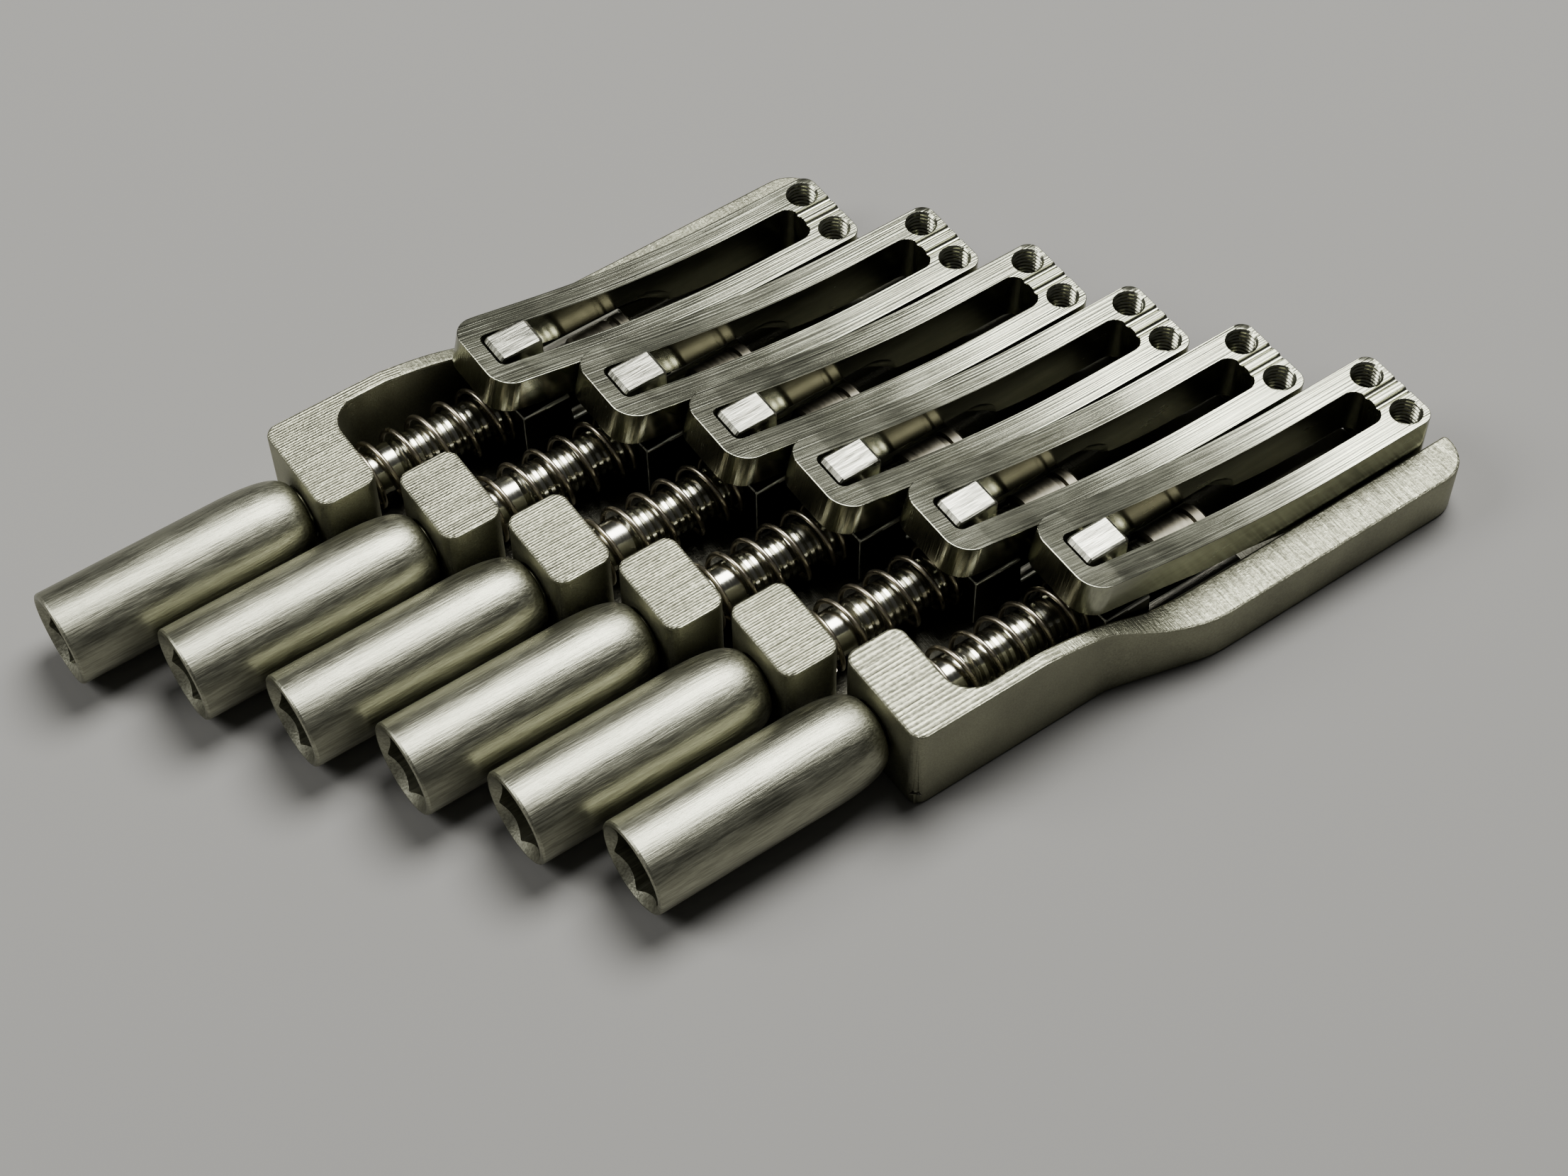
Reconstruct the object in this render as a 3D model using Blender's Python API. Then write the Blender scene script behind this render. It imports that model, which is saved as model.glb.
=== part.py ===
"""Six-string headless guitar bridge with staggered tuners, as separate named pieces.

X runs along the strings with the tuner knobs at -X, +Y is the far bass side, Z is up
from the flat underside of the base.
"""
import math

import bmesh
import bpy
import numpy as np
from mathutils import Euler

MM = 0.001
STRINGS = 6
PITCH = 10.5                                    # string spacing
SHIFT_X = 19.3                                  # centres the whole bridge on the origin
POST_X = (-16.0, -8.3, -2.5, 3.2, 8.9, 14.7)    # rear face of each tuner post
LUG_AHEAD = (25.0, 25.0, 25.0, 24.1, 24.4, 25.9)    # lug centre ahead of its post rear face
FLOOR_Z = 2.0
POST_TOP = 11.25
POST_LONG = 6.4
POST_WIDE = 9.86
SIDE_REAR_Y = 33.1
SIDE_FRONT_Y = 35.9
SIDE_INNER_Y = 31.5
FLANGE_TOP = 6.2
FRONT_NEAR_X = 81.4
FRONT_FAR_X = 50.1
AXIS_Z = 5.66                                   # height of the tuning screw axis
KNOB_R = 4.86
KNOB_LONG = 26.5
SCREW_R = 2.45                                  # M5 x 0.8
SPRING_R = 3.25
SPRING_WIRE = 0.27
SPRING_TURNS = 5.5
LUG_REAR = -2.45
LUG_FRONT = 2.4
LUG_HALF_Y = 1.77
LUG_TOP = 14.75
LUG_EDGE = 0.38                                 # bevel over the lug's rear and front edges
CARRIAGE_REAR = -2.4
CARRIAGE_TOP = 8.85
PIVOT_U = 0.5
PIVOT_Z = 12.0
SADDLE_HALF_Y = 5.05
SADDLE_REAR = -4.5
SADDLE_FRONT = 39.0
REAR_LEAN = 14.0                                # the rear wall stands square to the sloping top
SLOT_HALF_Y = 2.3
SLOT_REAR = -2.78
SLOT_FRONT = 34.95
HOLE_U = 36.85                                  # height screw holes ahead of the lug centre
HOLE_Y = 2.9
HOLE_R = 1.5

METAL = (0.56, 0.55, 0.51, 1.0)


def clearScene():
    """Removes whatever the file starts with."""
    for thing in list(bpy.data.objects):
        bpy.data.objects.remove(thing, do_unlink=True)
    for group in list(bpy.data.collections):
        bpy.data.collections.remove(group)


def makeCollections():
    """One collection for the pieces and one for the cutters."""
    made = bpy.data.collections.new("headless_guitar_bridge")
    cutters = bpy.data.collections.new("cutters")
    bpy.context.scene.collection.children.link(made)
    bpy.context.scene.collection.children.link(cutters)
    cutters.hide_render = True
    return made, cutters


clearScene()
PIECES, CUTTERS = makeCollections()


def metal(name, colour, roughness):
    """Bare metal with its own tint and polish."""
    made = bpy.data.materials.new(name)
    made.use_nodes = True
    shader = made.node_tree.nodes["Principled BSDF"]
    shader.inputs["Base Color"].default_value = colour
    shader.inputs["Metallic"].default_value = 1.0
    shader.inputs["Roughness"].default_value = roughness
    made.diffuse_color = colour
    return made


def stringY(i):
    """Centre line of string i, bass side first."""
    return (2.5 - i) * PITCH


def lugX(i):
    """Centre of the lug of unit i in the bridge frame."""
    return POST_X[i] + LUG_AHEAD[i] - SHIFT_X


def postX(i):
    """Rear face of post i in the bridge frame."""
    return POST_X[i] - SHIFT_X


def rounded(points, radii, steps=4):
    """Polygon with each corner replaced by an arc of its own radius."""
    out = []
    count = len(points)
    for k in range(count):
        p = np.array(points[k], float)
        a = np.array(points[k - 1], float) - p
        b = np.array(points[(k + 1) % count], float) - p
        r = radii[k]
        if r <= 0.0:
            out.append((p[0], p[1]))
            continue
        a /= np.linalg.norm(a)
        b /= np.linalg.norm(b)
        half = 0.5 * math.acos(max(-1.0, min(1.0, float(a @ b))))
        tangent = r / math.tan(half)
        middle = (a + b) / np.linalg.norm(a + b)
        centre = p + middle * r / math.sin(half)
        start = p + a * tangent - centre
        stop = p + b * tangent - centre
        turn = math.atan2(start[0] * stop[1] - start[1] * stop[0], float(start @ stop))
        for s in range(steps + 1):
            t = turn * s / steps
            out.append((centre[0] + start[0] * math.cos(t) - start[1] * math.sin(t),
                        centre[1] + start[0] * math.sin(t) + start[1] * math.cos(t)))
    return out


def prismMesh(name, outline, low, high, plane="XY"):
    """Closed prism of an outline; plane XZ runs it along Y, plane XY along Z."""
    mesh = bpy.data.meshes.new(name)
    build = bmesh.new()
    rings = []
    for level in (low, high):
        ring = []
        for a, b in outline:
            at = (a, b, level) if plane == "XY" else (a, level, b)
            ring.append(build.verts.new([MM * v for v in at]))
        rings.append(ring)
    build.faces.new(rings[0])
    build.faces.new(rings[1])
    count = len(outline)
    for k in range(count):
        n = (k + 1) % count
        build.faces.new((rings[0][k], rings[0][n], rings[1][n], rings[1][k]))
    bmesh.ops.recalc_face_normals(build, faces=build.faces)
    build.to_mesh(mesh)
    build.free()
    return mesh


def boxMesh(name, low, high):
    """Closed box between two corners."""
    outline = [(low[0], low[1]), (high[0], low[1]), (high[0], high[1]), (low[0], high[1])]
    return prismMesh(name, outline, low[2], high[2])


def rodMesh(name, radius, start, stop, sides=24, axis="X", tip=None):
    """Closed cylinder or cone from start to stop along an axis."""
    mesh = bpy.data.meshes.new(name)
    build = bmesh.new()
    bmesh.ops.create_cone(build, cap_ends=True, segments=sides, radius1=radius * MM,
                          radius2=(radius if tip is None else tip) * MM,
                          depth=(stop - start) * MM)
    bmesh.ops.translate(build, verts=build.verts, vec=(0, 0, 0.5 * (start + stop) * MM))
    turned = {"X": (0.0, math.pi / 2, 0.0), "Y": (-math.pi / 2, 0.0, 0.0), "Z": (0, 0, 0)}[axis]
    bmesh.ops.transform(build, matrix=Euler(turned).to_matrix().to_4x4(), verts=build.verts)
    build.to_mesh(mesh)
    build.free()
    return mesh


def place(name, mesh, at, finish, smooth=False):
    """Puts a mesh into the bridge as a named piece with its origin at a point in mm."""
    piece = bpy.data.objects.new(name, mesh)
    piece.location = [MM * v for v in at]
    PIECES.objects.link(piece)
    if not mesh.materials:
        mesh.materials.append(finish)
    if smooth:
        for face in mesh.polygons:
            face.use_smooth = len(face.vertices) == 4
    return piece


def cutter(name, mesh, at=(0.0, 0.0, 0.0)):
    """A shape that is only taken away from or joined to pieces."""
    tool = bpy.data.objects.new(name, mesh)
    tool.location = [MM * v for v in at]
    tool.display_type = "WIRE"
    tool.hide_render = True
    CUTTERS.objects.link(tool)
    return tool


def combine(piece, tool, operation="DIFFERENCE"):
    """Exact Boolean between a piece and a cutter."""
    step = piece.modifiers.new(tool.name, "BOOLEAN")
    step.object = tool
    step.operation = operation
    step.solver = "EXACT"


def sideOutline(index, side, front):
    """Plan of one side wall with its corner post, running from the rear to the front flange."""
    rear = postX(index)
    shift = front - (FRONT_NEAR_X - SHIFT_X)
    bend = 37.5 - SHIFT_X + shift
    corners = [(rear, stringY(index) - side * POST_WIDE / 2, 1.4), (rear, side * SIDE_REAR_Y, 1.4),
               (bend, side * SIDE_REAR_Y, 9.0),
               (bend + 11.0, side * SIDE_FRONT_Y, 12.0), (front, side * SIDE_FRONT_Y, 3.7),
               (front, side * SIDE_INNER_Y, 0.5),
               (rear + POST_LONG, side * SIDE_INNER_Y, 3.0),
               (rear + POST_LONG, stringY(index) - side * POST_WIDE / 2, 1.4)]
    return rounded([(x, y) for x, y, r in corners], [r for x, y, r in corners])


def slopeOutline(shift):
    """Side view of what is cleared away above a side wall that falls towards the flange."""
    rim = [(28.0, 11.6), (30.2, 11.15), (33.0, 10.65), (35.5, 10.05), (37.5, 9.4), (39.5, 8.55),
           (41.5, 7.6), (43.5, 6.85), (45.5, 6.4), (48.0, FLANGE_TOP), (90.0, FLANGE_TOP),
           (90.0, 20.0), (28.0, 20.0)]
    return [(x - SHIFT_X + shift, z) for x, z in rim]


def floorOutline():
    """Plan of the floor: stepped under the posts, slanting across the front."""
    corners = []
    for i in range(STRINGS):
        top = SIDE_REAR_Y - 0.4 if i == 0 else stringY(i) + PITCH / 2
        low = -SIDE_REAR_Y + 0.4 if i == STRINGS - 1 else stringY(i) - PITCH / 2
        corners += [(postX(i) + 0.4, top), (postX(i) + 0.4, low)]
    corners += [(FRONT_NEAR_X - SHIFT_X - 0.6, -SIDE_REAR_Y + 0.4),
                (FRONT_NEAR_X - SHIFT_X - 0.6, -SIDE_INNER_Y),
                (FRONT_FAR_X - SHIFT_X - 0.6, SIDE_INNER_Y),
                (FRONT_FAR_X - SHIFT_X - 0.6, SIDE_REAR_Y - 0.4)]
    return corners


def makeBase(finish):
    """One-piece base: floor, staggered posts, side walls that fall to wide front flanges."""
    base = place("base_frame", prismMesh("base_frame", floorOutline(), 0.0, FLOOR_Z), (0, 0, 0),
                 finish)
    sides = ((STRINGS - 1, -1, FRONT_NEAR_X), (0, 1, FRONT_FAR_X))
    for index, side, front in sides:
        outline = sideOutline(index, side, front - SHIFT_X)
        wall = cutter("side_wall_%d" % (index + 1), prismMesh("side_wall", outline, 0.0, POST_TOP))
        combine(base, wall, "UNION")
    for i in range(1, STRINGS - 1):
        y = stringY(i)
        plan = [(postX(i), y - POST_WIDE / 2), (postX(i) + POST_LONG, y - POST_WIDE / 2),
                (postX(i) + POST_LONG, y + POST_WIDE / 2), (postX(i), y + POST_WIDE / 2)]
        post = cutter("post_%d" % (i + 1),
                      prismMesh("post", rounded(plan, [1.4] * 4), 0.2, POST_TOP))
        combine(base, post, "UNION")
    for index, side, front in sides:
        low, high = sorted((side * (SIDE_INNER_Y - 0.6), side * 40.0))
        fall = prismMesh("wall_fall", slopeOutline((front - FRONT_NEAR_X) * 1.04), low, high, "XZ")
        combine(base, cutter("wall_fall_%d" % (index + 1), fall))
    for i in range(STRINGS):
        bore = rodMesh("post_bore", SCREW_R + 0.08, -1.0, POST_LONG + 1.0, 24)
        combine(base, cutter("post_bore_%d" % (i + 1), bore, (postX(i), stringY(i), AXIS_Z)))


def makeKnobMesh(finish):
    """Long bullet-ended knob with a hex socket in its outer end and a bore for its screw."""
    profile = [(2.9, 0.0), (3.5, 0.35), (4.1, 1.2), (4.5, 2.5), (4.75, 4.3), (KNOB_R, 6.6),
               (KNOB_R, KNOB_LONG - 0.35), (KNOB_R - 0.35, KNOB_LONG)]
    sides = 40
    mesh = bpy.data.meshes.new("knob")
    build = bmesh.new()
    rings = []
    for r, s in profile:
        ring = [build.verts.new((-s * MM, r * MM * math.cos(2 * math.pi * k / sides),
                                 r * MM * math.sin(2 * math.pi * k / sides)))
                for k in range(sides)]
        rings.append(ring)
    for a, b in zip(rings[:-1], rings[1:]):
        for k in range(sides):
            n = (k + 1) % sides
            build.faces.new((a[k], a[n], b[n], b[k]))
    build.faces.new(rings[0])
    build.faces.new(rings[-1])
    bmesh.ops.recalc_face_normals(build, faces=build.faces)
    build.to_mesh(mesh)
    build.free()
    mesh.materials.append(finish)
    return mesh


def makeTuners(finish, dark):
    """Knobs behind the posts, each fixed on its own tuning screw."""
    mesh = makeKnobMesh(finish)
    for i in range(STRINGS):
        at = (postX(i) - 0.3, stringY(i), AXIS_Z)
        knob = place("knob_%d" % (i + 1), mesh.copy(), at, finish, True)
        socket = rodMesh("hex_socket", 4.1, -KNOB_LONG - 1.0, -KNOB_LONG + 8.0, 6)
        combine(knob, cutter("hex_socket_%d" % (i + 1), socket, at))
        cone = rodMesh("socket_chamfer", 4.9, -KNOB_LONG - 0.5, -KNOB_LONG + 1.6, 40, tip=2.9)
        combine(knob, cutter("socket_chamfer_%d" % (i + 1), cone, at))
        bore = rodMesh("knob_bore", SCREW_R + 0.06, -7.4, 1.0, 24)
        combine(knob, cutter("knob_bore_%d" % (i + 1), bore, at))
        reach = lugX(i) + 9.9 - at[0]
        place("tuning_screw_%d" % (i + 1), rodMesh("tuning_screw", SCREW_R, -7.0, reach, 24),
              at, dark, True)


def makeSprings(finish):
    """Open compression coils between each post and its carriage."""
    for i in range(STRINGS):
        start = postX(i) + POST_LONG + SPRING_WIRE + 0.12
        stop = lugX(i) + CARRIAGE_REAR - SPRING_WIRE - 0.12
        curve = bpy.data.curves.new("spring", "CURVE")
        curve.dimensions = "3D"
        curve.bevel_depth = SPRING_WIRE * MM
        curve.bevel_resolution = 2
        curve.use_fill_caps = True
        path = curve.splines.new("POLY")
        count = int(SPRING_TURNS * 11) + 1
        path.points.add(count - 1)
        for k in range(count):
            t = k / (count - 1)
            turn = 2 * math.pi * SPRING_TURNS * t
            path.points[k].co = ((stop - start) * t * MM, SPRING_R * MM * math.cos(turn),
                                 SPRING_R * MM * math.sin(turn), 1.0)
        rough = bpy.data.objects.new("spring_curve", curve)
        CUTTERS.objects.link(rough)
        bpy.context.view_layer.update()
        solid = bpy.data.meshes.new_from_object(rough)
        bpy.data.objects.remove(rough)
        build = bmesh.new()
        build.from_mesh(solid)
        bmesh.ops.remove_doubles(build, verts=build.verts, dist=0.00001)
        bmesh.ops.recalc_face_normals(build, faces=build.faces)
        build.to_mesh(solid)
        build.free()
        place("spring_%d" % (i + 1), solid, (start, stringY(i), AXIS_Z), finish, True)


def makeCarriages(finish):
    """Blocks that slide in the base, each with a lug that carries its saddle's pivot."""
    for i in range(STRINGS):
        at = (lugX(i), stringY(i), 0.0)
        block = boxMesh("carriage", (CARRIAGE_REAR - 0.1, -5.0, FLOOR_Z + 0.25),
                        (3.0, 5.0, CARRIAGE_TOP))
        carriage = place("carriage_%d" % (i + 1), block, at, finish)
        face = [(LUG_REAR, 7.0), (LUG_FRONT, 7.0), (LUG_FRONT, LUG_TOP - LUG_EDGE),
                (LUG_FRONT - LUG_EDGE, LUG_TOP), (LUG_REAR + LUG_EDGE, LUG_TOP),
                (LUG_REAR, LUG_TOP - LUG_EDGE)]
        lug = cutter("lug_%d" % (i + 1), prismMesh("lug", face, -LUG_HALF_Y, LUG_HALF_Y, "XZ"), at)
        combine(carriage, lug, "UNION")
        for side in (-1, 1):
            low, high = sorted((side * 3.55, side * 4.98))
            cheek = boxMesh("cheek", (2.0, low, FLOOR_Z + 0.3), (15.0, high, 5.0))
            combine(carriage, cutter("cheek_%d_%d" % (i + 1, side + 1), cheek, at), "UNION")
        bore = cutter("carriage_bore_%d" % (i + 1), rodMesh("carriage_bore", 2.85, -4.0, 4.0, 24),
                      (at[0], at[1], AXIS_Z))
        combine(carriage, bore)
        pin = cutter("lug_bore_%d" % (i + 1), rodMesh("lug_bore", 0.8, -4.0, 4.0, 16, "Y"),
                     (at[0] + PIVOT_U, at[1], PIVOT_Z))
        combine(carriage, pin)


def makePins(finish):
    """Cross pins that hold the saddles on the lugs."""
    mesh = rodMesh("pivot_pin", 0.72, -4.7, 4.7, 16, "Y")
    for i in range(STRINGS):
        place("pivot_pin_%d" % (i + 1), mesh.copy(), (lugX(i) + PIVOT_U, stringY(i), PIVOT_Z),
              finish, True)


def saddleSide():
    """Side view of a saddle: high at the pivot, hollowed on top, level at the string end."""
    lean = math.tan(math.radians(REAR_LEAN))
    top = [(SADDLE_REAR - 4.4 * lean - 0.5, 15.2), (-1.0, 14.2), (3.0, 13.3), (7.0, 12.45), (11.0, 11.7),
           (15.0, 11.1), (19.0, 10.65), (23.0, 10.35), (27.0, 10.2), (32.0, 10.15),
           (SADDLE_FRONT, 10.2)]
    low = [(SADDLE_FRONT, 4.5), (26.0, 4.7), (21.0, 5.3), (17.0, 6.3), (14.0, 6.95),
           (10.0, 7.5), (5.0, 8.75), (1.0, 9.75), (SADDLE_REAR - 4.4 * lean - 0.5, 11.1)]
    return [(u - PIVOT_U, z - PIVOT_Z) for u, z in top + low]


def makeSaddles(finish):
    """Long slotted saddles with two height-screw holes at the string end."""
    lean = math.radians(REAR_LEAN)
    front = SADDLE_FRONT - PIVOT_U
    half = SADDLE_HALF_Y
    high = 15.05 - PIVOT_Z
    rear = (SADDLE_REAR - PIVOT_U) * math.cos(lean) - high * math.sin(lean)
    plan = rounded([(-9.0, -half), (front, -half), (front, half), (-9.0, half)],
                   [0.0, 1.5, 1.5, 0.0], 5)
    tail = rounded([(rear, -half), (60.0, -half), (60.0, half), (rear, half)],
                   [2.6, 0.0, 0.0, 2.6], 5)
    slot = rounded([(SLOT_REAR - PIVOT_U, -SLOT_HALF_Y), (SLOT_FRONT - PIVOT_U, -SLOT_HALF_Y),
                    (SLOT_FRONT - PIVOT_U, SLOT_HALF_Y), (SLOT_REAR - PIVOT_U, SLOT_HALF_Y)],
                   [0.8, 1.5, 1.5, 0.8], 3)
    for i in range(STRINGS):
        at = (lugX(i) + PIVOT_U, stringY(i), PIVOT_Z)
        body = prismMesh("saddle", saddleSide(), -half - 1.0, half + 1.0, "XZ")
        saddle = place("saddle_%d" % (i + 1), body, at, finish)
        tag = "_%d" % (i + 1)
        combine(saddle, cutter("saddle_plan" + tag, prismMesh("saddle_plan", plan, -9.0, 5.0), at),
                "INTERSECT")
        ends = cutter("saddle_tail" + tag, prismMesh("saddle_tail", tail, -20.0, 12.0), at)
        ends.rotation_euler = (0.0, lean, 0.0)
        combine(saddle, ends, "INTERSECT")
        combine(saddle, cutter("slot" + tag, prismMesh("slot", slot, -9.5, 5.5), at))
        room = cutter("jaw_room" + tag, rodMesh("jaw_room", 3.65, -9.0, 16.8, 20),
                      (at[0], at[1], AXIS_Z))
        combine(saddle, room)
        for side in (-1, 1):
            hole = rodMesh("height_hole", HOLE_R, -10.0, 0.0, 20, "Z")
            combine(saddle, cutter("height_hole%s_%d" % (tag, side + 1), hole,
                                   (lugX(i) + HOLE_U, at[1] + side * HOLE_Y, PIVOT_Z)))
        pin = rodMesh("saddle_bore", 0.8, -half - 1.0, half + 1.0, 16, "Y")
        combine(saddle, cutter("saddle_bore" + tag, pin, at))


def makeJaws(finish):
    """Barrels on the tuning screws that hold the string ends."""
    for i in range(STRINGS):
        at = (lugX(i), stringY(i), AXIS_Z)
        mesh = rodMesh("string_jaw", 3.05, 7.05, 13.6, 28)
        jaw = place("string_jaw_%d" % (i + 1), mesh, at, finish, True)
        thread = rodMesh("jaw_thread", SCREW_R + 0.08, 6.0, 12.5, 24)
        combine(jaw, cutter("jaw_thread_%d" % (i + 1), thread, at))
        hole = rodMesh("string_hole", 0.9, 10.0, 15.0, 12)
        combine(jaw, cutter("string_hole_%d" % (i + 1), hole, at))


def makeHeightScrews(finish):
    """Socket set screws that stand on the floor and carry the string end of each saddle."""
    mesh = rodMesh("height_screw", 1.42, 0.0, 4.6, 18, "Z")
    for i in range(STRINGS):
        for side, letter in ((1, "a"), (-1, "b")):
            place("height_screw_%d%s" % (i + 1, letter), mesh.copy(),
                  (lugX(i) + HOLE_U, stringY(i) + side * HOLE_Y, FLOOR_Z + 0.1), finish, True)


makeBase(metal("satin_base_metal", METAL, 0.42))
makeTuners(metal("brushed_knob_metal", (0.58, 0.57, 0.52, 1.0), 0.34),
           metal("tuning_screw_steel", (0.48, 0.47, 0.44, 1.0), 0.22))
makeSprings(metal("spring_steel", (0.42, 0.41, 0.38, 1.0), 0.2))
makeCarriages(metal("dark_carriage_metal", (0.30, 0.29, 0.26, 1.0), 0.4))
makePins(metal("pin_steel", (0.5, 0.5, 0.48, 1.0), 0.3))
makeSaddles(metal("brushed_saddle_metal", (0.60, 0.59, 0.54, 1.0), 0.33))
makeJaws(metal("jaw_metal", (0.46, 0.45, 0.41, 1.0), 0.35))
makeHeightScrews(metal("set_screw_steel", (0.4, 0.4, 0.38, 1.0), 0.28))
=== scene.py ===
import math
import bpy
import bmesh
from mathutils import Matrix, Vector


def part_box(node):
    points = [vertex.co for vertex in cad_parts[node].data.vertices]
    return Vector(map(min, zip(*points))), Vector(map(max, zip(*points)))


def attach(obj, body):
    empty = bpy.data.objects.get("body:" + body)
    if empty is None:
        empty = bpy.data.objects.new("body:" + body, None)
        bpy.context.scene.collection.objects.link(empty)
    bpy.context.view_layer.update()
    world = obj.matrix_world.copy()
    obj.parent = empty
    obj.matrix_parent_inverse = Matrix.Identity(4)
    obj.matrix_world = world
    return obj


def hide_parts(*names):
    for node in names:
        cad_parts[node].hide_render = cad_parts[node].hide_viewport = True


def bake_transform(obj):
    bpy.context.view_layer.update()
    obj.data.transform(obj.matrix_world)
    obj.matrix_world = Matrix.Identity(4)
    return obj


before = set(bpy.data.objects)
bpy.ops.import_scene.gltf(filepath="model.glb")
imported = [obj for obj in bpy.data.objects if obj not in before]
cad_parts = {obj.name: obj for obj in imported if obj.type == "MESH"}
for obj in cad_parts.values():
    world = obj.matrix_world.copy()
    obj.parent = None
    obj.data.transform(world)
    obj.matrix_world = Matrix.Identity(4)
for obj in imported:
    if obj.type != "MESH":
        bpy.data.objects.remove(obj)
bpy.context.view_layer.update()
mm = 0.001
units = range(6)
print("frame loaded with", len(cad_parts), "nodes")

# Where each string's hardware stands, read from the frame, in mm.
postX = [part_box("knob_%d" % (i + 1))[1].x / mm + 0.3 for i in units]
lugX = [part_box("carriage_%d" % (i + 1))[0].x / mm + 2.5 for i in units]
stringY = [sum(p.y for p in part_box("carriage_%d" % (i + 1))) / mm / 2 for i in units]
screwTip = [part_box("tuning_screw_%d" % (i + 1))[1].x / mm for i in units]
baseLow, baseHigh = [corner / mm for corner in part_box("base_frame")]
axisZ = sum(p.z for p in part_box("knob_1")) / mm / 2


def roundedOutline(points, radii, step=9.0):
    # Each corner becomes an arc of its own radius, one point every few degrees.
    out = []
    count = len(points)
    for k in range(count):
        p = Vector(points[k])
        a = (Vector(points[k - 1]) - p).normalized()
        b = (Vector(points[(k + 1) % count]) - p).normalized()
        r = radii[k]
        if r <= 0.0:
            out.append((p.x, p.y))
            continue
        half = 0.5 * a.angle(b)
        centre = p + (a + b).normalized() * (r / math.sin(half))
        start = p + a * (r / math.tan(half)) - centre
        stop = p + b * (r / math.tan(half)) - centre
        turn = math.atan2(start.x * stop.y - start.y * stop.x, start.dot(stop))
        pieces = max(2, math.ceil(abs(math.degrees(turn)) / step))
        for s in range(pieces + 1):
            t = turn * s / pieces
            out.append((centre.x + start.x * math.cos(t) - start.y * math.sin(t),
                        centre.y + start.x * math.sin(t) + start.y * math.cos(t)))
    return out


def smoothLine(points, count):
    # A Catmull-Rom line through the points.
    out = []
    last = len(points) - 1
    for k in range(count + 1):
        at = last * k / count
        i = min(int(at), last - 1)
        t = at - i
        p0, p1, p2, p3 = [points[max(0, min(last, j))] for j in (i - 1, i, i + 1, i + 2)]
        out.append(tuple(0.5 * (2 * p1[n] + (p2[n] - p0[n]) * t
                                + (2 * p0[n] - 5 * p1[n] + 4 * p2[n] - p3[n]) * t * t
                                + (3 * p1[n] - p0[n] - 3 * p2[n] + p3[n]) * t ** 3)
                         for n in (0, 1)))
    return out


def meshOf(name, build):
    mesh = bpy.data.meshes.new(name)
    bmesh.ops.recalc_face_normals(build, faces=build.faces)
    build.to_mesh(mesh)
    build.free()
    return mesh


def prism(name, outline, low, high, plane="XY"):
    build = bmesh.new()
    rings = []
    for level in (low, high):
        rings.append([build.verts.new([mm * v for v in
                                       ((a, b, level) if plane == "XY" else (a, level, b))])
                      for a, b in outline])
    build.faces.new(rings[0])
    build.faces.new(rings[1])
    for k in range(len(outline)):
        n = (k + 1) % len(outline)
        build.faces.new((rings[0][k], rings[0][n], rings[1][n], rings[1][k]))
    return meshOf(name, build)


def lathe(name, profile, sides=64, axis="X"):
    # Turned shape of (radius, place along the axis); both ends are closed.
    build = bmesh.new()
    rings = []
    for r, s in profile:
        ring = []
        for k in range(sides):
            a, b = r * math.cos(2 * math.pi * k / sides), r * math.sin(2 * math.pi * k / sides)
            at = {"X": (s, a, b), "Y": (b, s, a), "Z": (a, b, s)}[axis]
            ring.append(build.verts.new([mm * v for v in at]))
        rings.append(ring)
    for low, high in zip(rings[:-1], rings[1:]):
        for k in range(sides):
            n = (k + 1) % sides
            build.faces.new((low[k], low[n], high[n], high[k]))
    build.faces.new(rings[0])
    build.faces.new(rings[-1])
    return meshOf(name, build)


def rod(name, r, start, stop, sides=64, axis="X"):
    return lathe(name, [(r, start), (r, stop)], sides, axis)


def block(name, low, high):
    return prism(name, [(low[0], low[1]), (high[0], low[1]), (high[0], high[1]),
                        (low[0], high[1])], low[2], high[2])


def hexagon(reach):
    # Six corners, each this far from the middle.
    return [(reach * math.cos(math.pi * k / 3), reach * math.sin(math.pi * k / 3))
            for k in range(6)]


def placed(mesh, x=0.0, y=0.0, z=0.0):
    mesh.transform(Matrix.Translation((x * mm, y * mm, z * mm)))
    return mesh


def makeObject(name, mesh, finish=None):
    piece = bpy.data.objects.new(name, mesh)
    bpy.context.scene.collection.objects.link(piece)
    if finish:
        mesh.materials.clear()
        mesh.materials.append(finish)
    return piece


def settle(piece):
    # The modifiers' result becomes the piece's own plain mesh.
    bpy.context.view_layer.update()
    graph = bpy.context.evaluated_depsgraph_get()
    mesh = bpy.data.meshes.new_from_object(piece.evaluated_get(graph))
    piece.modifiers.clear()
    piece.data = mesh
    return piece


def combine(piece, meshes, operation="DIFFERENCE"):
    tools = []
    for mesh in meshes:
        tool = makeObject("tool", mesh)
        step = piece.modifiers.new("step", "BOOLEAN")
        step.object = tool
        step.operation = operation
        step.solver = "EXACT"
        tools.append(tool)
    settle(piece)
    for tool in tools:
        bpy.data.objects.remove(tool)
    return piece


def softenEdges(piece, width, angle=35.0, segments=2, clamp=False):
    # A small round on every edge steeper than the angle; unclamped, slivers do not shrink it.
    step = piece.modifiers.new("edges", "BEVEL")
    step.width = width * mm
    step.segments = segments
    step.limit_method = "ANGLE"
    step.angle_limit = math.radians(angle)
    step.use_clamp_overlap = clamp
    return settle(piece)


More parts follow.
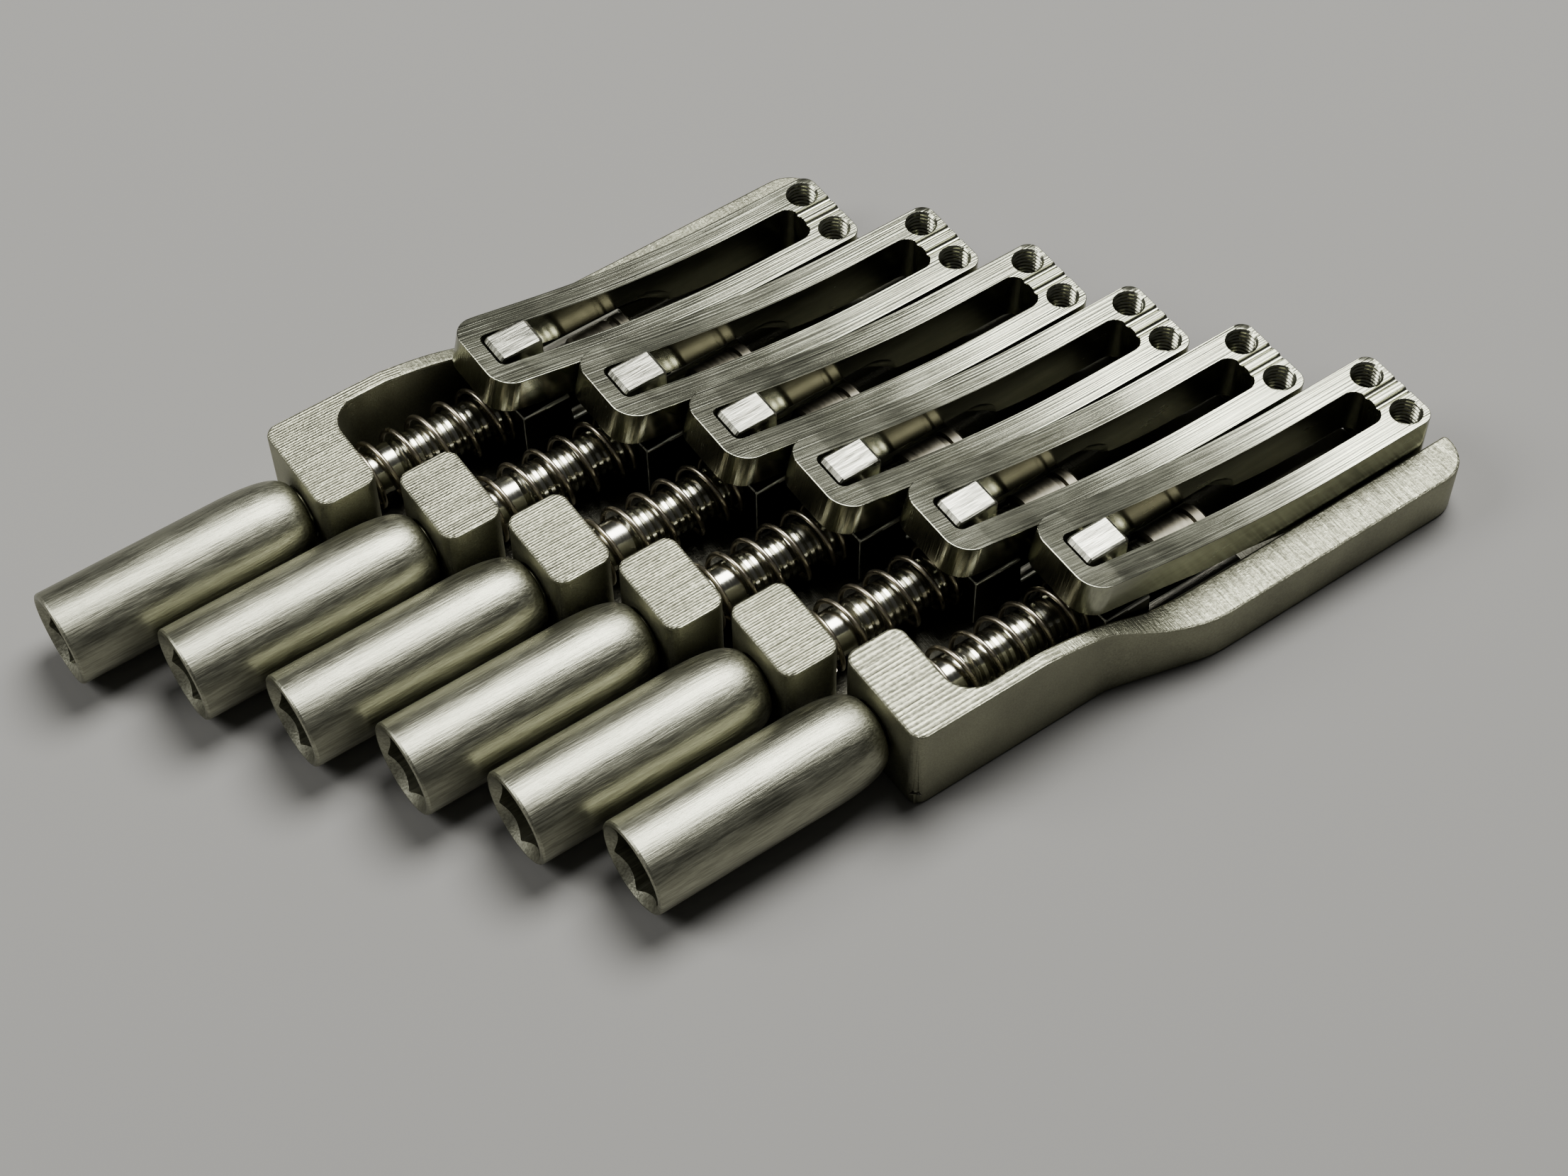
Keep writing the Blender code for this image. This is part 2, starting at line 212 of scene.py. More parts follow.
def shade(mesh, angle=20.0):
    # Rounded faces shade smoothly, anything steeper stays crisp.
    build = bmesh.new()
    build.from_mesh(mesh)
    bmesh.ops.remove_doubles(build, verts=build.verts, dist=2e-7)
    bmesh.ops.dissolve_degenerate(build, edges=build.edges, dist=1e-7)
    for face in build.faces:
        face.smooth = True
    for edge in build.edges:
        paired = len(edge.link_faces) == 2
        edge.smooth = paired and edge.calc_face_angle(0.0) < math.radians(angle)
    build.to_mesh(mesh)
    build.free()
    return mesh


def weighNormals(piece):
    # Large faces keep their own direction where they meet narrow ones.
    step = piece.modifiers.new("normals", "WEIGHTED_NORMAL")
    step.keep_sharp = True
    return settle(piece)


def finishPiece(name, mesh, finish, body, nodes):
    piece = makeObject(name, mesh, finish)
    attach(piece, body)
    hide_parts(*nodes)
    return piece


def startTree(name, sizes):
    # A Geometry Nodes tree with one named input for each size.
    tree = bpy.data.node_groups.new(name, "GeometryNodeTree")
    tree.interface.new_socket("Geometry", in_out="OUTPUT", socket_type="NodeSocketGeometry")
    for key, value in sizes.items():
        kind = "NodeSocketInt" if isinstance(value, int) else "NodeSocketFloat"
        tree.interface.new_socket(key, in_out="INPUT", socket_type=kind).default_value = value
    tree.interface.new_socket("Finish", in_out="INPUT", socket_type="NodeSocketMaterial")
    return tree, tree.nodes.new("NodeGroupInput"), tree.nodes.new("NodeGroupOutput")


def calc(tree, operation, *values):
    node = tree.nodes.new("ShaderNodeMath")
    node.operation = operation
    for place, value in zip(node.inputs, values):
        if isinstance(value, (int, float)):
            place.default_value = value
        else:
            tree.links.new(value, place)
    return node.outputs[0]


def axes(tree, vector):
    # The X, Y and Z of a vector.
    node = tree.nodes.new("ShaderNodeSeparateXYZ")
    tree.links.new(vector, node.inputs[0])
    return node.outputs


def between(tree, value, low, high):
    return calc(tree, "MINIMUM", calc(tree, "MAXIMUM", value, low), high)


def moveAround(tree, shape, along, r, angle):
    # Sets every point at an angle and a radius around the X axis, both lengths in mm.
    r = calc(tree, "MULTIPLY", r, mm)
    spot = tree.nodes.new("ShaderNodeCombineXYZ")
    tree.links.new(calc(tree, "MULTIPLY", along, mm), spot.inputs["X"])
    tree.links.new(calc(tree, "MULTIPLY", r, calc(tree, "COSINE", angle)), spot.inputs["Y"])
    tree.links.new(calc(tree, "MULTIPLY", r, calc(tree, "SINE", angle)), spot.inputs["Z"])
    move = tree.nodes.new("GeometryNodeSetPosition")
    tree.links.new(shape, move.inputs["Geometry"])
    tree.links.new(spot.outputs[0], move.inputs["Position"])
    return move.outputs["Geometry"]


def endTree(tree, shape, given, result):
    real = tree.nodes.new("GeometryNodeRealizeInstances")
    paint = tree.nodes.new("GeometryNodeSetMaterial")
    tree.links.new(shape, real.inputs["Geometry"])
    tree.links.new(real.outputs["Geometry"], paint.inputs["Geometry"])
    tree.links.new(given.outputs["Finish"], paint.inputs["Material"])
    tree.links.new(paint.outputs["Geometry"], result.inputs["Geometry"])


def grown(name, tree, sizes, finish):
    # Runs a tree with its own sizes and keeps the result as a plain mesh.
    piece = makeObject(name, bpy.data.meshes.new(name))
    step = piece.modifiers.new("grow", "NODES")
    step.node_group = tree
    for item in tree.interface.items_tree:
        if item.in_out == "INPUT":
            step[item.identifier] = finish if item.name == "Finish" else sizes[item.name]
    settle(piece)
    mesh = piece.data
    bpy.data.objects.remove(piece)
    return mesh


threadSizes = {"Length": 20.0, "Radius": 2.45, "Depth": 0.32, "Pitch": 0.8, "Chamfer": 0.4,
               "Sides": 48, "Rows per pitch": 8}


def makeThreadTree():
    # A rod whose surface rises and falls along a helix, with chamfered ends. Sizes in mm.
    tree, given, result = startTree("threadedRod", threadSizes)
    size = given.outputs
    grid = tree.nodes.new("GeometryNodeMeshGrid")
    grid.inputs["Size X"].default_value = 1.0
    grid.inputs["Size Y"].default_value = 1.0
    rows = calc(tree, "CEIL", calc(tree, "MULTIPLY", size["Rows per pitch"],
                                   calc(tree, "ADD", 2.0, calc(tree, "DIVIDE", size["Length"],
                                                               size["Pitch"]))))
    tree.links.new(calc(tree, "ADD", size["Sides"], 1.0), grid.inputs["Vertices X"])
    tree.links.new(calc(tree, "ADD", rows, 1.0), grid.inputs["Vertices Y"])
    place = axes(tree, tree.nodes.new("GeometryNodeInputPosition").outputs[0])
    turn = calc(tree, "ADD", place["X"], 0.5)
    row = calc(tree, "ROUND", calc(tree, "MULTIPLY", rows, calc(tree, "ADD", place["Y"], 0.5)))
    cycle = calc(tree, "DIVIDE", row, size["Rows per pitch"])
    along = calc(tree, "MULTIPLY", size["Pitch"],
                 calc(tree, "SUBTRACT", calc(tree, "ADD", cycle, turn), 1.0))
    held = between(tree, along, 0.0, size["Length"])
    inside = calc(tree, "COMPARE", along, held, 0.001)
    slant = calc(tree, "ABSOLUTE", calc(tree, "SUBTRACT", 1.0, calc(
        tree, "MULTIPLY", 2.0, calc(tree, "FRACT", cycle))))
    rise = calc(tree, "MULTIPLY", 2.2, calc(tree, "SUBTRACT", 1.0, slant))
    low = between(tree, calc(tree, "SUBTRACT", rise, 1.1), 0.0, 1.0)
    r = calc(tree, "SUBTRACT", size["Radius"], calc(tree, "MULTIPLY", low, size["Depth"]))
    rim = calc(tree, "SUBTRACT", size["Radius"], size["Chamfer"])
    r = calc(tree, "MINIMUM", r, calc(tree, "ADD", rim, held))
    left = calc(tree, "SUBTRACT", size["Length"], held)
    r = calc(tree, "MINIMUM", r, calc(tree, "ADD", rim, left))
    shape = moveAround(tree, grid.outputs["Mesh"], held, calc(tree, "MULTIPLY", r, inside),
                       calc(tree, "MULTIPLY", turn, 2 * math.pi))
    weld = tree.nodes.new("GeometryNodeMergeByDistance")
    weld.inputs["Distance"].default_value = 2e-6
    tree.links.new(shape, weld.inputs["Geometry"])
    endTree(tree, weld.outputs["Geometry"], given, result)
    return tree


springSizes = {"Length": 15.0, "Radius": 3.25, "Wire": 0.27, "Turns": 6.6, "End pitch": 1.0,
               "Phase": 0.0, "Points": 300}


def makeSpringTree():
    # A compression coil whose end turns close up. Sizes in mm.
    tree, given, result = startTree("compressionCoil", springSizes)
    size = given.outputs
    line = tree.nodes.new("GeometryNodeMeshLine")
    tree.links.new(size["Points"], line.inputs["Count"])
    index = tree.nodes.new("GeometryNodeInputIndex").outputs[0]
    turn = calc(tree, "MULTIPLY", size["Turns"],
                calc(tree, "DIVIDE", index, calc(tree, "SUBTRACT", size["Points"], 1.0)))
    inner = calc(tree, "SUBTRACT", size["Turns"], 2.0)
    ends = calc(tree, "MULTIPLY", 2.0, size["End pitch"])
    pitch = calc(tree, "DIVIDE", calc(tree, "SUBTRACT", size["Length"], ends), inner)
    first = calc(tree, "MULTIPLY", size["End pitch"], calc(tree, "MINIMUM", turn, 1.0))
    middle = calc(tree, "MULTIPLY", pitch, calc(tree, "MINIMUM", inner, calc(
        tree, "MAXIMUM", 0.0, calc(tree, "SUBTRACT", turn, 1.0))))
    lastTurn = calc(tree, "MULTIPLY", size["End pitch"], calc(
        tree, "MAXIMUM", 0.0, calc(tree, "SUBTRACT", calc(tree, "SUBTRACT", turn, inner), 1.0)))
    along = calc(tree, "ADD", first, calc(tree, "ADD", middle, lastTurn))
    angle = calc(tree, "MULTIPLY", 2 * math.pi, calc(tree, "ADD", turn, size["Phase"]))
    path = tree.nodes.new("GeometryNodeMeshToCurve")
    tree.links.new(moveAround(tree, line.outputs["Mesh"], along, size["Radius"], angle),
                   path.inputs["Mesh"])
    ring = tree.nodes.new("GeometryNodeCurvePrimitiveCircle")
    ring.inputs["Resolution"].default_value = 14
    tree.links.new(calc(tree, "MULTIPLY", size["Wire"], mm), ring.inputs["Radius"])
    sweep = tree.nodes.new("GeometryNodeCurveToMesh")
    sweep.inputs["Fill Caps"].default_value = True
    tree.links.new(path.outputs["Curve"], sweep.inputs["Curve"])
    tree.links.new(ring.outputs["Curve"], sweep.inputs["Profile Curve"])
    endTree(tree, sweep.outputs["Mesh"], given, result)
    return tree


threadTree = makeThreadTree()
springTree = makeSpringTree()
print("thread and coil trees ready")


def startMaterial(name, look):
    made = bpy.data.materials.new(name)
    made.use_nodes = True
    tree = made.node_tree
    shader = tree.nodes["Principled BSDF"]
    shader.inputs["Metallic"].default_value = 1.0
    shader.inputs["IOR"].default_value = 2.2
    made.diffuse_color = (*look["colour"], 1.0)
    return made, tree, shader


def grain(tree, coords, scale, detail=3.0, roughness=0.6):
    # Noise stretched along the direction of the tool marks; scale is marks per metre.
    spread = tree.nodes.new("ShaderNodeMapping")
    spread.inputs["Scale"].default_value = scale
    tree.links.new(coords, spread.inputs["Vector"])
    noise = tree.nodes.new("ShaderNodeTexNoise")
    noise.inputs["Scale"].default_value = 1.0
    noise.inputs["Detail"].default_value = detail
    noise.inputs["Roughness"].default_value = roughness
    tree.links.new(spread.outputs["Vector"], noise.inputs["Vector"])
    return noise.outputs["Fac"]


def remap(tree, value, low, high, start=0.3, stop=0.7):
    node = tree.nodes.new("ShaderNodeMapRange")
    node.inputs["From Min"].default_value = start
    node.inputs["From Max"].default_value = stop
    node.inputs["To Min"].default_value = low
    node.inputs["To Max"].default_value = high
    tree.links.new(value, node.inputs["Value"])
    return node.outputs["Result"]


def blendValue(tree, factor, a, b):
    # a where factor is 0 and b where it is 1
    back = calc(tree, "MULTIPLY", a, calc(tree, "SUBTRACT", 1.0, factor))
    return calc(tree, "ADD", back, calc(tree, "MULTIPLY", b, factor))


def colourBetween(tree, factor, dark, light):
    mix = tree.nodes.new("ShaderNodeMix")
    mix.data_type = "RGBA"
    mix.inputs["A"].default_value = (*dark, 1.0)
    mix.inputs["B"].default_value = (*light, 1.0)
    tree.links.new(factor, mix.inputs["Factor"])
    return mix.outputs["Result"]


def shadeOf(colour, k):
    return tuple(min(1.0, c * k) for c in colour)


def paintOver(tree, shader, factor, paint):
    # A second colour over the shader's own where the factor is 1; a plain colour or a socket.
    mix = tree.nodes.new("ShaderNodeMix")
    mix.data_type = "RGBA"
    tree.links.new(factor, mix.inputs["Factor"])
    tree.links.new(shader.inputs["Base Color"].links[0].from_socket, mix.inputs["A"])
    if isinstance(paint, tuple):
        mix.inputs["B"].default_value = (*paint, 1.0)
    else:
        tree.links.new(paint, mix.inputs["B"])
    tree.links.new(mix.outputs["Result"], shader.inputs["Base Color"])


def joinUp(tree, shader, look, marks, patch, roughness, depth):
    # Marks and wide patches set the colour, and the same marks or others the bump.
    lines = remap(tree, marks, 0.0, 0.75, 0.5 - look["spread"], 0.5 + look["spread"])
    tone = calc(tree, "ADD", lines, remap(tree, patch, 0.0, 0.25))
    tree.links.new(colourBetween(tree, tone, shadeOf(look["colour"], 1.0 - look["tone"]),
                                 shadeOf(look["colour"], 1.0 + look["tone"])),
                   shader.inputs["Base Color"])
    tree.links.new(roughness, shader.inputs["Roughness"])
    bump = tree.nodes.new("ShaderNodeBump")
    bump.inputs["Strength"].default_value = look["strength"]
    bump.inputs["Distance"].default_value = look["depth"] * mm
    tree.links.new(depth, bump.inputs["Height"])
    tree.links.new(bump.outputs["Normal"], shader.inputs["Normal"])


patchScale = (160.0, 160.0, 160.0)


def brushedMetal(name, look):
    # Marks run one way over the whole piece, in wider and narrower streaks.
    made, tree, shader = startMaterial(name, look)
    coords = tree.nodes.new("ShaderNodeTexCoord").outputs["Object"]
    fine = grain(tree, coords, look["fine"], 4.0, 0.65)
    wide = grain(tree, coords, look["wide"], 2.0, 0.5)
    patch = grain(tree, coords, patchScale, 2.0, 0.5)
    marks = calc(tree, "ADD", calc(tree, "MULTIPLY", fine, 0.8), calc(tree, "MULTIPLY", wide, 0.2))
    rough = calc(tree, "ADD", remap(tree, marks, look["rough"][0], look["rough"][1]),
                 remap(tree, patch, -0.03, 0.03))
    height = grain(tree, coords, look["ridge"], 2.0, 0.5) if "ridge" in look else marks
    joinUp(tree, shader, look, marks, patch, rough, height)
    return made


# The inside colour is painted shade: a near-black for the inner floor, where the saddles and posts
# cast shade.
baseLook = {"colour": (0.345, 0.345, 0.262), "tone": 0.55, "spread": 0.13, "strength": 1.0,
            "depth": 0.15, "postLines": 0.30, "wallLines": 0.52, "flangeLines": 0.5,
            "postTop": 10.9, "wallFrom": -20.5, "inside": (0.10, 0.098, 0.08), "shadeFloorTop": 2.1,
            "wobble": (130.0, 1400.0, 300.0), "chips": (2600.0, 3400.0, 600.0),
            "fine": (110.0, 5200.0, 400.0), "blast": (5200.0, 5200.0, 5200.0),
            "patch": (140.0, 140.0, 140.0), "blastRough": (0.42, 0.56), "cutRough": (0.55, 0.3)}


def feedLines(tree, across, pitch, wobble):
    # Evenly spaced cutter passes along X; wobble shifts and breaks them a little.
    shift = calc(tree, "MULTIPLY", calc(tree, "SUBTRACT", wobble, 0.5), 2.6)
    turns = calc(tree, "MULTIPLY", across, 2 * math.pi / (pitch * mm))
    wave = calc(tree, "SINE", calc(tree, "ADD", turns, shift))
    return calc(tree, "ADD", calc(tree, "MULTIPLY", wave, 0.17), 0.5)


def surface(tree):
    # Object coordinates, then the parts of the place and of the direction a face looks in.
    source = tree.nodes.new("ShaderNodeTexCoord")
    coords = source.outputs["Object"]
    return coords, axes(tree, coords), axes(tree, source.outputs["Normal"])


def baseMetal(name, look):
    # Lengthwise cutter lines on the post tops, cross lines on the flanges, blasted sides, and
    # painted shade on the inner floor.
    made, tree, shader = startMaterial(name, look)
    coords, place, facing = surface(tree)
    level = calc(tree, "GREATER_THAN", facing["Z"], 0.55)
    high = calc(tree, "GREATER_THAN", place["Z"], look["postTop"] * mm)
    near = calc(tree, "LESS_THAN", place["Y"], look["wallFrom"] * mm)
    wobble = grain(tree, coords, look["wobble"])
    chips = grain(tree, coords, look["chips"], 3.0, 0.7)
    passes = blendValue(tree, near, feedLines(tree, place["Y"], look["postLines"], wobble),
                        feedLines(tree, place["Y"], look["wallLines"], wobble))
    fineLines = grain(tree, coords, look["fine"])
    chipped = calc(tree, "MULTIPLY", calc(tree, "SUBTRACT", chips, 0.5), 0.5)
    longLines = calc(tree, "ADD", calc(tree, "MULTIPLY", passes, 0.65),
                     calc(tree, "ADD", calc(tree, "MULTIPLY", fineLines, 0.35), chipped))
    ribs = grain(tree, coords, (1.6 / (look["flangeLines"] * mm), 260.0, 300.0), 4.0, 0.7)
    crossLines = calc(tree, "ADD", calc(tree, "MULTIPLY", ribs, 0.6),
                      calc(tree, "MULTIPLY", chips, 0.4))
    blast = grain(tree, coords, look["blast"])
    patch = grain(tree, coords, look["patch"], 2.0, 0.5)
    cut = blendValue(tree, high, crossLines, longLines)
    even = calc(tree, "ADD", calc(tree, "MULTIPLY", blast, 0.3), 0.35)
    marks = blendValue(tree, level, even, cut)
    rough = blendValue(tree, level, remap(tree, blast, *look["blastRough"]),
                       remap(tree, cut, *look["cutRough"]))
    rough = calc(tree, "ADD", rough, remap(tree, patch, -0.03, 0.03))
    joinUp(tree, shader, look, marks, patch, rough, marks)
    # Painted shade: upward faces of the inner floor, below its top height, take the near-black
    # inside colour.
    inner = calc(tree, "MULTIPLY", calc(tree, "LESS_THAN", place["Z"], look["shadeFloorTop"] * mm),
                 calc(tree, "GREATER_THAN", facing["Z"], 0.9))
    paintOver(tree, shader, inner, look["inside"])
    return made


# The near-black colour is painted shade, for the shade under the saddles; the lug and the edges get
# a lighter metal colour.
carriageLook = {"colour": (0.10, 0.097, 0.082), "tone": 0.2, "spread": 0.12, "strength": 0.9,
                "depth": 0.04, "lugTop": 8.9, "litMetal": (0.50, 0.50, 0.42), "flat": 0.94,
                "lines": (300.0, 4200.0, 500.0), "patch": (300.0, 300.0, 300.0),
                "rough": (0.26, 0.42)}


def carriageMetal(name, look):
    # Block painted near-black as painted shade, with a lighter metal colour on the lug and a painted
    # highlight on the edges.
    made, tree, shader = startMaterial(name, look)
    coords, place, facing = surface(tree)
    steepest = calc(tree, "ABSOLUTE", facing["X"])
    for side in "YZ":
        steepest = calc(tree, "MAXIMUM", steepest, calc(tree, "ABSOLUTE", facing[side]))
    slanted = calc(tree, "LESS_THAN", steepest, look["flat"])
    raised = calc(tree, "GREATER_THAN", place["Z"], look["lugTop"] * mm)
    lines = grain(tree, coords, look["lines"])
    patch = grain(tree, coords, look["patch"], 3.0, 0.55)
    rough = calc(tree, "ADD", remap(tree, lines, *look["rough"]), remap(tree, patch, -0.04, 0.04))
    joinUp(tree, shader, look, lines, patch, rough, lines)
    # Painted highlight: the bevelled edges get the lighter metal colour so they show as bright
    # lines; the lug above lugTop takes it too.
    litMetal = colourBetween(tree, remap(tree, lines, 0.0, 1.0, 0.4, 0.6),
                         shadeOf(look["litMetal"], 0.5), shadeOf(look["litMetal"], 1.15))
    paintOver(tree, shader, calc(tree, "MAXIMUM", raised, slanted), litMetal)
    # The edges are made partly non-metal so the painted highlight shows under the faint world light.
    edges = calc(tree, "MULTIPLY", slanted,
                 calc(tree, "LESS_THAN", place["Z"], look["lugTop"] * mm))
    tree.links.new(calc(tree, "SUBTRACT", 1.0, calc(tree, "MULTIPLY", edges, 0.7)),
                   shader.inputs["Metallic"])
    return made


looks = {
    "knob": {"colour": (0.365, 0.365, 0.29), "tone": 0.28, "spread": 0.10, "strength": 1.0,
             "depth": 0.04, "rough": (0.34, 0.46), "fine": (330.0, 4800.0, 4800.0),
             "wide": (120.0, 1900.0, 1900.0)},
    "saddle": {"colour": (0.37, 0.375, 0.295), "tone": 0.20, "spread": 0.13, "strength": 1.0,
               "depth": 0.03, "rough": (0.20, 0.27), "fine": (150.0, 4600.0, 900.0),
               "wide": (80.0, 1900.0, 500.0), "ridge": (30.0, 5000.0, 0.0)},
    "screw": {"colour": (0.47, 0.465, 0.40), "tone": 0.1, "spread": 0.2, "strength": 0.15,
              "depth": 0.01, "rough": (0.16, 0.28), "fine": (5000.0, 300.0, 300.0),
              "wide": (900.0, 200.0, 200.0)},
    "spring": {"colour": (0.46, 0.42, 0.335), "tone": 0.2, "spread": 0.2, "strength": 0.1,
               "depth": 0.01, "rough": (0.24, 0.38), "fine": (1500.0, 1500.0, 1500.0),
               "wide": (400.0, 400.0, 400.0)},
    "pin": {"colour": (0.42, 0.41, 0.34), "tone": 0.1, "spread": 0.2, "strength": 0.1, "depth": 0.01,
            "rough": (0.2, 0.34), "fine": (600.0, 4000.0, 600.0), "wide": (300.0, 900.0, 300.0)},
    # The jaw's dark colour is painted shade, for its place down in the saddle's slot.
    "jaw": {"colour": (0.13, 0.122, 0.095), "tone": 0.14, "spread": 0.15, "strength": 0.4,
            "depth": 0.02, "rough": (0.34, 0.5), "fine": (3600.0, 500.0, 500.0),
            "wide": (1200.0, 300.0, 300.0)},
    "setScrew": {"colour": (0.30, 0.295, 0.24), "tone": 0.14, "spread": 0.2, "strength": 0.2,
                 "depth": 0.01, "rough": (0.24, 0.4), "fine": (900.0, 900.0, 4500.0),
                 "wide": (400.0, 400.0, 900.0)},
}
baseFinish = baseMetal("satinBaseMetal", baseLook)
carriageFinish = carriageMetal("shadePaintedCarriageMetal", carriageLook)
finishes = {key: brushedMetal(key + "Metal", look) for key, look in looks.items()}
print("finishes ready")

baseSizes = {"floor": 2.0, "postTop": 11.25, "postLong": 6.4, "postWide": 9.86, "postCorner": 1.4,
             "rearY": 33.1, "innerY": 31.5, "farDrop": -31.3, "bore": 2.53, "edge": 0.26,
             "floorHalf": 5.25, "floorIn": 0.4, "frontIn": 0.6, "bend": 43.9, "bendLong": 11.0,
             "wallCorners": (1.4, 1.4, 9.0, 12.0, 3.7, 0.5, 3.0, 1.4)}
# The side walls' fall to the flanges: distance from the front, height.
wallFall = [(-53.4, 11.6), (-51.2, 11.15), (-48.4, 10.65), (-45.9, 10.05), (-43.9, 9.4),
            (-41.9, 8.55), (-39.9, 7.6), (-37.9, 6.85), (-35.9, 6.4), (-33.4, 6.2)]


def makeBase(size):
    frontX = {-1: baseHigh.x, 1: baseHigh.x + size["farDrop"]}
    frontY = baseHigh.y
    half = size["postWide"] / 2
    edgeY = size["rearY"] - size["floorIn"]
    corners = []
    for i in units:
        top = edgeY if i == 0 else stringY[i] + size["floorHalf"]
        low = -edgeY if i == 5 else stringY[i] - size["floorHalf"]
        corners += [(postX[i] + size["floorIn"], top), (postX[i] + size["floorIn"], low)]
    for side, order in ((-1, (edgeY, size["innerY"])), (1, (size["innerY"], edgeY))):
        corners += [(frontX[side] - size["frontIn"], side * y) for y in order]
    base = makeObject("baseFrame", prism("base", corners, 0.0, size["floor"]))
    walls = []
    falls = []
    for i, side in ((5, -1), (0, 1)):
        front = frontX[side]
        rear = postX[i]
        bend = front - size["bend"]
        plan = [(rear, stringY[i] - side * half), (rear, side * size["rearY"]),
                (bend, side * size["rearY"]), (bend + size["bendLong"], side * frontY),
                (front, side * frontY), (front, side * size["innerY"]),
                (rear + size["postLong"], side * size["innerY"]),
                (rear + size["postLong"], stringY[i] - side * half)]
        walls.append(prism("wall", roundedOutline(plan, size["wallCorners"]), 0.0, size["postTop"]))
        shift = 0.0 if side < 0 else size["farDrop"] * 0.04
        line = smoothLine([(front + shift + x, z) for x, z in wallFall], 40)
        line = line + [(front + 20.0, line[-1][1]), (front + 20.0, 20.0), (line[0][0], 20.0)]
        low, high = sorted((side * (size["innerY"] - 0.6), side * 40.0))
        falls.append(prism("fall", line, low, high, "XZ"))
    for i in units[1:5]:
        plan = [(postX[i], stringY[i] - half), (postX[i] + size["postLong"], stringY[i] - half),
                (postX[i] + size["postLong"], stringY[i] + half), (postX[i], stringY[i] + half)]
        outline = roundedOutline(plan, [size["postCorner"]] * 4)
        walls.append(prism("post", outline, 0.2, size["postTop"]))
    combine(base, walls, "UNION")
    combine(base, falls)
    softenEdges(base, size["edge"])
    for vertex in base.data.vertices:
        vertex.co.z = max(vertex.co.z, 0.0)  # the underside stays flat
    bores = []
    for i in units:
        mouth = [(size["bore"] + 0.9, -0.6), (size["bore"], 0.3),
                 (size["bore"], size["postLong"] - 0.3),
                 (size["bore"] + 0.9, size["postLong"] + 0.6)]
        bores.append(placed(lathe("bore", mouth), postX[i], stringY[i], axisZ))
    combine(base, bores)
    shade(base.data, 22.0)
    mesh = weighNormals(base).data
    bpy.data.objects.remove(base)
    finishPiece("baseFrame", mesh, baseFinish, "base", ["base_frame"])


makeBase(baseSizes)
print("base done")

knobSizes = {"radius": 4.86, "long": 26.5, "hex": 4.1, "hexDeep": 8.0, "hexCorner": 0.35,
             "mouth": 4.42, "cone": 1.6, "drill": 2.9, "bore": 2.51, "boreDeep": 7.4}
knobNose = [(2.9, 0.0), (3.5, -0.35), (4.1, -1.2), (4.5, -2.5), (4.75, -4.3)]


def makeKnobs(size):
    # Bullet-ended knob with a deep hex socket whose mouth is coned.
    r = size["radius"]
    nose = smoothLine(knobNose + [(r, -6.6)], 28)
    rim = [(r, -12.0), (r, -19.0), (r, 0.3 - size["long"]), (r - 0.1, 0.1 - size["long"]),
           (r - 0.3, -size["long"])]
    knob = makeObject("knob", lathe("knob", nose + rim, 128))
    plan = roundedOutline(hexagon(size["hex"]), [size["hexCorner"]] * 6, 20.0)
    socket = prism("socket", plan, 0.0, size["hexDeep"] + 1.0)
    socket.transform(Matrix.Rotation(math.pi / 2, 4, "Y"))
    placed(socket, -size["long"] - 1.0)
    slope = (size["mouth"] - size["drill"]) / size["cone"]
    cone = lathe("cone", [(size["mouth"] + slope * 0.4, -size["long"] - 0.4),
                          (size["drill"], size["cone"] - size["long"])], 128)
    drill = lathe("drill", [(size["drill"], 1.0 - size["long"]),
                            (size["drill"], size["hexDeep"] - size["long"]),
                            (0.3, size["hexDeep"] + 1.2 - size["long"])], 48)
    bore = rod("bore", size["bore"], -size["boreDeep"], 1.0, 48)
    combine(knob, [socket, cone, drill, bore])
    shade(knob.data, 24.0)
    for i in units:
        mesh = placed(knob.data.copy(), postX[i] - 0.3, stringY[i], axisZ)
        finishPiece("tuningKnob.%d" % (i + 1), mesh, finishes["knob"], "tuner_%d" % (i + 1),
                    ["knob_%d" % (i + 1)])
    bpy.data.objects.remove(knob)


makeKnobs(knobSizes)
print("knobs done")

screwSizes = {"radius": 2.45, "inKnob": 7.3, "shank": 10.6, "chamfer": 0.4, "neck": 0.25,
              "pitch": 0.8}


def makeTuningScrews(size):
    # Smooth shank out of the post, then a rolled thread up to the jaw.
    for i in units:
        start = postX[i] - size["inKnob"]
        split = postX[i] + size["shank"]
        r = size["radius"]
        shank = lathe("shank", [(r - size["chamfer"], start), (r, start + size["chamfer"]),
                                (r, split - 0.35), (r - size["neck"], split - 0.1),
                                (r - 0.42, split + 0.3), (r - 0.6, split + 0.5)], 64)
        sizes = dict(threadSizes)
        sizes.update({"Length": screwTip[i] - split, "Radius": r - 0.01, "Pitch": size["pitch"]})
        thread = placed(grown("thread", threadTree, sizes, finishes["screw"]), split)
        build = bmesh.new()
        build.from_mesh(shank)
        build.from_mesh(thread)
        mesh = bpy.data.meshes.new("tuningScrew")
        build.to_mesh(mesh)
        build.free()
        shade(placed(mesh, 0.0, stringY[i], axisZ), 34.0)
        finishPiece("tuningScrew.%d" % (i + 1), mesh, finishes["screw"], "tuner_%d" % (i + 1),
                    ["tuning_screw_%d" % (i + 1)])


makeTuningScrews(screwSizes)
print("tuning screws done")


springFit = {"rearGap": 0.05, "lug": 2.4, "frontGap": 0.1, "pitch": 2.95, "turn": 0.13}


